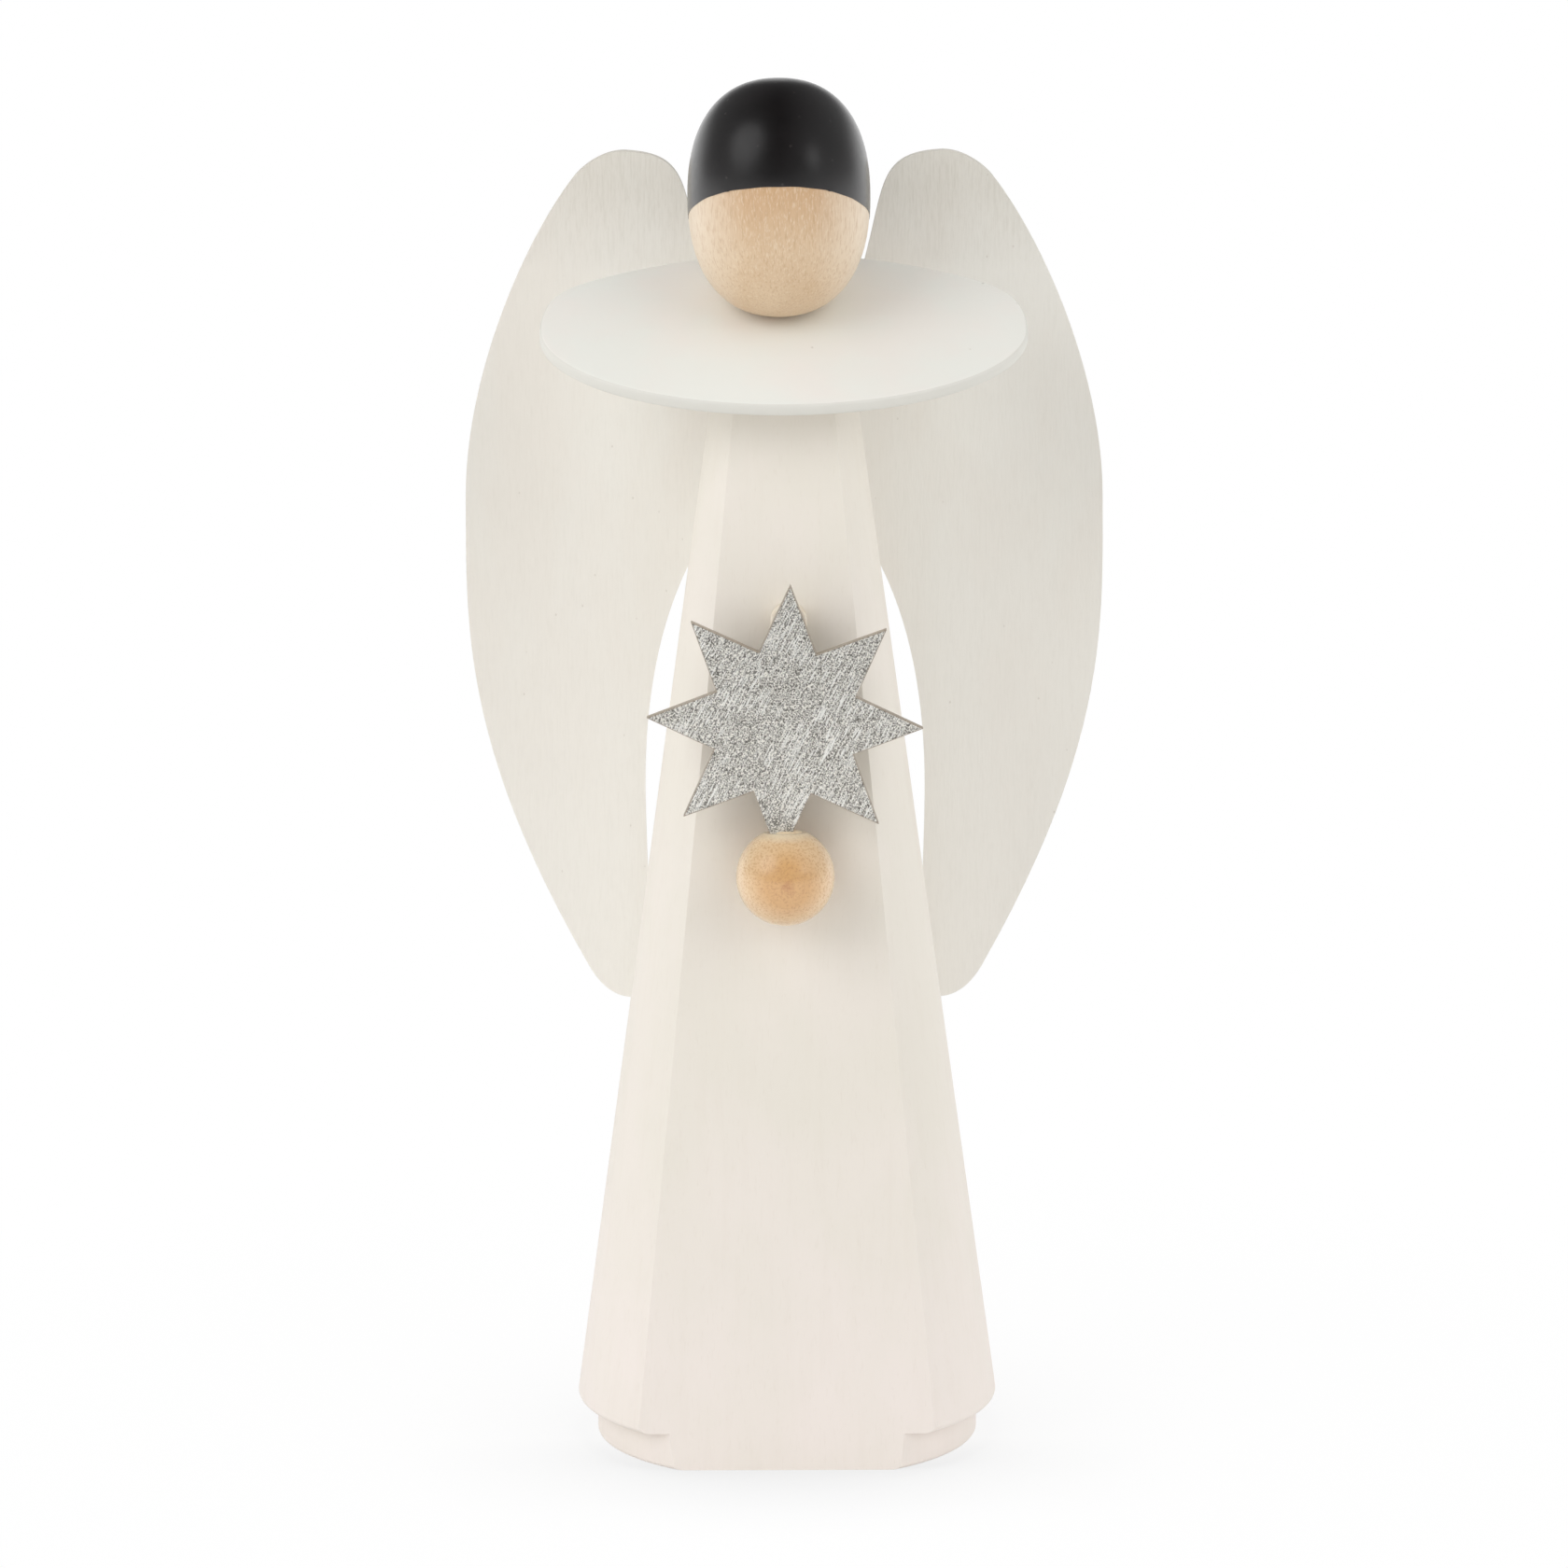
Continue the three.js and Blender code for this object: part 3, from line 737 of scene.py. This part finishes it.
def makeHead():
    piece = turnOnLathe("eggHead", eggProfile(0), head["steps"])
    sawOff(piece, (0, 0, headSeat - headMiddle[2]), (0, math.sin(tilt), -math.cos(tilt)))
    roundEdges(piece, head["seatRound"], segments=2, angle=25)
    putOnCollar(piece)
    return piece


def makeHair():
    piece = turnOnLathe("hairCoat", eggProfile(head["paint"]), head["steps"])
    a = math.radians(head["hairTilt"])
    sawOff(piece, (0, 0, -head["hairDrop"]), (0, -math.sin(a), -math.cos(a)), close=False)
    shape = bmesh.new()
    shape.from_mesh(piece.data)
    for vert in shape.verts:  # the brushed edge wavers a little
        if vert.is_boundary:
            turn = math.atan2(vert.co.y, vert.co.x)
            waver = head["waver"] * math.sin(head["wavers"] * turn + head["waverStart"])
            ripple = head["ripple"] * math.sin(head["ripples"] * turn)
            vert.co.z += (waver + ripple) * mm
    shape.to_mesh(piece.data)
    shape.free()
    coat = piece.modifiers.new("coat", "SOLIDIFY")
    coat.thickness = head["paintIn"] * mm
    coat.offset = -1
    applyAll(piece)
    putOnCollar(piece)
    return piece


eggHead = makeHead()
hairCoat = makeHair()
finishPiece(eggHead, "head", headWood(head["aside"]))
finishPiece(hairCoat, "hair_paint", hairPaint())
print("head and hair done")


# Ball hand, star and peg, all square to the flat front

hand = {
    "diameter": 10, "height": 61.5, "seat": 0.6, "crown": 0.5, "edgeRound": 0.25, "steps": 96, "rings": 48,
    "glueSize": (1.65, 1.3, 0.36), "glueAside": 0.1,
}
star = {
    "points": 8, "radius": 14, "inner": 7.65, "thickness": 2, "turn": 2.4, "inBall": 2.8, "edgeRound": 0.1,
}
peg = {"diameter": 3.7, "inBody": 4, "rise": 10, "edgeRound": 0.2, "sides": 64}
flatSpot = Vector((0, hand["height"] * math.tan(lean) - body["flatDistance"], hand["height"])) * mm
onFlat = Matrix.Translation(flatSpot) @ Matrix.Rotation(-lean, 4, "X")
ballForward = hand["diameter"] / 2 - hand["seat"]
ballCrown = hand["diameter"] / 2 - hand["crown"]
starRise = ballCrown + star["radius"] - star["inBall"]
starTurn = math.radians(star["turn"])


def putOnFlat(piece, x, y, z, turnY=0):
    piece.matrix_world = onFlat @ Matrix.Translation(Vector((x, y, z)) * mm) @ Matrix.Rotation(turnY, 4, "Y")
    settle(piece)


def glueBead():  # glue pressed out under the star
    startFresh()
    bpy.ops.mesh.primitive_uv_sphere_add(segments=32, ring_count=16, radius=mm,
                                         location=(hand["glueAside"] * mm, 0, ballCrown * mm))
    bead = named("glueBead")
    bead.scale = hand["glueSize"]
    settle(bead)
    return bead


def makeBall():
    radius, rings = hand["diameter"] / 2, hand["rings"]
    profile = []
    for i in range(rings + 1):
        a = math.pi * (i / rings - 0.5)
        profile.append((radius * math.cos(a) if 0 < i < rings else 0, radius * math.sin(a)))
    piece = turnOnLathe("ballHand", profile, hand["steps"])
    faceFront(piece)
    sawOff(piece, (0, ballForward - glueLine, 0), (0, 1, 0))
    sawOff(piece, (0, 0, ballCrown), (0, 0, 1))
    roundEdges(piece, hand["edgeRound"], segments=3, angle=20)
    cutWith(piece, glueBead(), "UNION")
    putOnFlat(piece, 0, -ballForward, 0)
    smoothOver(piece, angle=40)
    return piece


def makeStar():
    startFresh()
    corners = 2 * star["points"]
    bpy.ops.mesh.primitive_circle_add(vertices=corners, radius=star["radius"] * mm, fill_type="NGON")
    piece = named("silverStar")
    openUp(piece)
    bpy.ops.mesh.select_mode(type="VERT")
    bpy.ops.mesh.select_all(action="DESELECT")
    shape = bmesh.from_edit_mesh(piece.data)
    for vert in shape.verts:  # every other corner is drawn in
        step = round(math.atan2(vert.co.x, vert.co.y) / (math.pi / star["points"]))
        vert.select_set(step % 2 != 0)
    bmesh.update_edit_mesh(piece.data)
    drawnIn = star["inner"] / star["radius"]
    bpy.ops.transform.resize(value=(drawnIn, drawnIn, 1))
    bpy.ops.mesh.select_all(action="SELECT")
    bpy.ops.transform.translate(value=(0, 0, -star["thickness"] / 2 * mm))
    pullOut(0, 0, star["thickness"])
    closeUp()
    cleanShell(piece)
    roundEdges(piece, star["edgeRound"], segments=2, angle=20)
    markSawn(piece, level=0.97)
    faceFront(piece)
    putOnFlat(piece, 0, -ballForward, starRise, starTurn)
    smoothOver(piece, angle=30)
    return piece


def makePeg():
    front = ballForward - star["thickness"] / 2 - glueLine
    radius = peg["diameter"] / 2
    profile = [(0, -peg["inBody"]), (radius, -peg["inBody"]), (radius, front), (0, front)]
    piece = turnOnLathe("starPeg", profile, peg["sides"])
    roundEdges(piece, peg["edgeRound"], segments=3, angle=40)
    faceFront(piece)
    putOnFlat(piece, peg["rise"] * math.sin(starTurn), 0, starRise + peg["rise"] * math.cos(starTurn))
    smoothOver(piece, angle=40)
    return piece


ballHand = makeBall()
ballMiddle = onFlat @ (Vector((0, -ballForward, 0)) * mm)
finishPiece(ballHand, "hand_ball", ballWood(ballMiddle, ballCrown))
silverStar = makeStar()
finishPiece(silverStar, "star", silverPaint())
starPeg = makePeg()
paleDowel = pegWood()
finishPiece(starPeg, "star_peg", paleDowel)
for node in ("neck_dowel", "hand_dowel"):  # hidden dowels keep their CAD shape
    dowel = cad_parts[node]
    dowel.data.materials.clear()
    dowel.data.materials.append(paleDowel)
print("ball, star and peg done")


# Floor, light and camera

lamps = {  # place in m, power in W, width in m, whether it shows in reflections
    "front": ((-0.4, -1.05, 0.6), 1.3, 1.0, False),
    "above": ((-0.35, 0.1, 1.35), 2.15, 1.2, False),
    "sideLeft": ((-0.85, -0.72, 0.75), 3.3, 0.9, False),
    "boxLeft": ((-0.85, -0.72, 0.82), 1.7, 1.0, True),
    "sideRight": ((0.8, -0.8, 0.85), 1.95, 0.9, False),
    "boxRight": ((0.95, -0.85, 0.6), 0.3, 0.35, True),
}
lampAim = (0, 0, 0.07)
room = {  # strengths, and how far back and up a direction points where the backdrop starts and ends
    "wallLeft": 1.08, "wallRight": 1.48, "wallBack": 0.3, "wallShine": 0.2,
    "backdropStart": 0.3, "backdropFull": 0.62, "backdropLow": 0.05, "backdropHigh": 0.35,
}
floor = {  # lengths in m, the rest are shares of full white or of open sky
    "size": 8, "color": 0.92, "shadowWhite": 0.94, "shadowNear": 0.04, "shadowFar": 0.12,
    "cornerReach": 0.03, "cornerDeep": 0.5, "cornerOpen": 0.95, "cornerSamples": 16,
    "cornerFront": 0.16, "cornerBack": 0.05, "frontLine": -0.016, "backLine": -0.004,
}
view = {  # mm, roll in radians
    "distance": 920, "height": 264, "aim": 68.45, "aside": -0.115, "roll": 0.00318,
    "lens": 210.57, "sensor": 36, "clipStart": 10, "clipEnd": 50000,
}


def makeFloor():  # white to the eye, with the object's shadow kept faintly in it
    startFresh()
    bpy.ops.mesh.primitive_plane_add(size=floor["size"])
    piece = named("studioFloor")
    f = Finish("floorWhite", floor)
    f.tree.nodes.remove(f.shader)
    rays = f.add("ShaderNodeLightPath").outputs
    mirrored = f.sums("MAXIMUM", rays["Is Glossy Ray"], rays["Is Transmission Ray"])
    seen = f.sums("MAXIMUM", rays["Is Camera Ray"], mirrored)
    lit = f.add("ShaderNodeBsdfDiffuse")
    f.link(f.ranged(seen, 0, 1, floor["color"], 1), lit.inputs["Color"])
    corner = f.add("ShaderNodeAmbientOcclusion", samples=floor["cornerSamples"])  # under the foot
    corner.inputs["Distance"].default_value = floor["cornerReach"]
    depth = f.ranged(f.split(f.place)[1], floor["frontLine"], floor["backLine"],
                     floor["cornerFront"], floor["cornerBack"])
    near = f.ranged(corner.outputs["AO"], floor["cornerDeep"], floor["cornerOpen"], 1, 0)
    white = f.add("ShaderNodeEmission")
    f.link(f.sums("SUBTRACT", 1, f.sums("MULTIPLY", near, depth)), white.inputs["Strength"])
    far = f.add("ShaderNodeVectorMath", operation="LENGTH")
    f.link(f.place, far.inputs[0])
    whiter = f.ranged(far.outputs["Value"], floor["shadowNear"], floor["shadowFar"], floor["shadowWhite"], 1)
    mix = f.add("ShaderNodeMixShader")
    f.link(f.sums("MULTIPLY", seen, whiter), mix.inputs[0])
    f.link(lit.outputs[0], mix.inputs[1])
    f.link(white.outputs[0], mix.inputs[2])
    f.link(mix.outputs[0], f.tree.nodes["Material Output"].inputs["Surface"])
    piece.data.materials.append(f.material)


def makeLight(name, place, power, size, shine):
    startFresh()
    bpy.ops.object.light_add(type="AREA", location=place)
    lamp = bpy.context.active_object
    lamp.name = name
    lamp.data.shape = "DISK"
    lamp.data.size = size
    lamp.data.energy = power
    lamp.visible_glossy = shine
    lamp.rotation_euler = (Vector(lampAim) - Vector(place)).to_track_quat("-Z", "Y").to_euler()


def makeWorld():  # pale walls at the sides and behind, a white backdrop for the camera and in reflections
    world = bpy.data.worlds.new("studioAir")
    bpy.context.scene.world = world
    world.use_nodes = True
    air = Wiring(world.node_tree)
    right, back, up = air.split(air.add("ShaderNodeTexCoord").outputs["Generated"])
    leftWall = air.ranged(right, -1, 0, room["wallLeft"], 0)
    rightWall = air.ranged(right, 0, 1, 0, room["wallRight"])
    backWall = air.ranged(back, 0, 1, 0, room["wallBack"])
    walls = air.sums("ADD", air.sums("ADD", leftWall, rightWall), backWall)
    rays = air.add("ShaderNodeLightPath").outputs
    dim = air.ranged(rays["Is Glossy Ray"], 0, 1, 1, room["wallShine"])
    behind = air.ranged(back, room["backdropStart"], room["backdropFull"], 0, 1)
    below = air.ranged(up, room["backdropLow"], room["backdropHigh"], 1, 0)
    mirrored = air.sums("MULTIPLY", rays["Is Glossy Ray"], air.sums("MULTIPLY", behind, below))
    straight = air.sums("MAXIMUM", rays["Is Camera Ray"], rays["Is Transmission Ray"])
    seen = air.sums("MAXIMUM", straight, mirrored)
    unseen = air.sums("MULTIPLY", air.sums("MULTIPLY", walls, dim), air.sums("SUBTRACT", 1, seen))
    background = air.tree.nodes["Background"]
    background.inputs["Color"].default_value = (1, 1, 1, 1)
    air.link(air.sums("ADD", unseen, seen), background.inputs["Strength"])


def makeCamera():
    startFresh()
    pitch = math.atan2(view["height"] - view["aim"], view["distance"])
    bpy.ops.object.camera_add(location=(view["aside"] * mm, -view["distance"] * mm, view["height"] * mm))
    camera = bpy.context.active_object
    turn = Euler((math.pi / 2 - pitch, 0, 0)).to_matrix() @ Matrix.Rotation(-view["roll"], 3, "Z")
    camera.rotation_euler = turn.to_euler()
    camera.data.lens = view["lens"]
    camera.data.sensor_width = view["sensor"]
    camera.data.clip_start = view["clipStart"] * mm
    camera.data.clip_end = view["clipEnd"] * mm
    bpy.context.scene.camera = camera


makeFloor()
for lamp, setting in lamps.items():
    makeLight(lamp + "Light", *setting)
makeWorld()
makeCamera()
bpy.context.scene.view_settings.view_transform = "Standard"
print("studio set")
